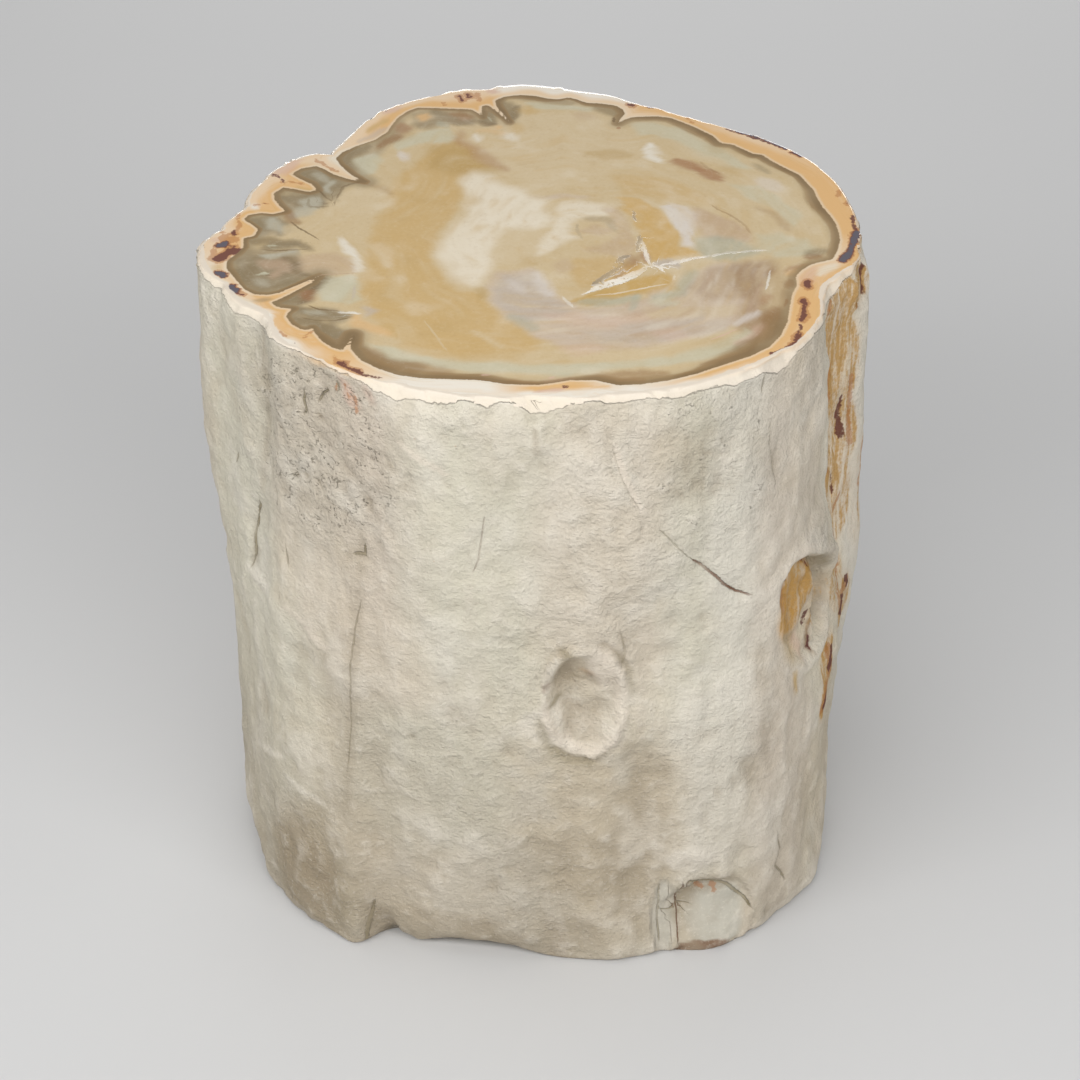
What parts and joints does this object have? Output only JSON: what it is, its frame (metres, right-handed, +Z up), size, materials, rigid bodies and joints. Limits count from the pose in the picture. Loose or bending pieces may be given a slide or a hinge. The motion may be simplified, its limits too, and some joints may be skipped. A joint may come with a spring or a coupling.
{
  "type": "petrified wood",
  "caption": "Short upright length of petrified trunk, sawn flat at both ends, with a polished upper cut and a furrowed pale rind with branch scars.",
  "frame": {"origin": "middle of the footprint, on the lower cut", "axes": "+Z up, from the lower cut to the polished cut; the side with the round branch scar faces -Y"},
  "size_m": [0.0802, 0.0742, 0.083],
  "materials": {
    "stone": "chalky weathered cream-grey rind with rust-brown stains; the upper cut polished, honey, grey and white agate inside an orange-cream border"
  },
  "bodies": {
    "root": {"petrified_wood": "stone"}
  },
  "joints": []
}
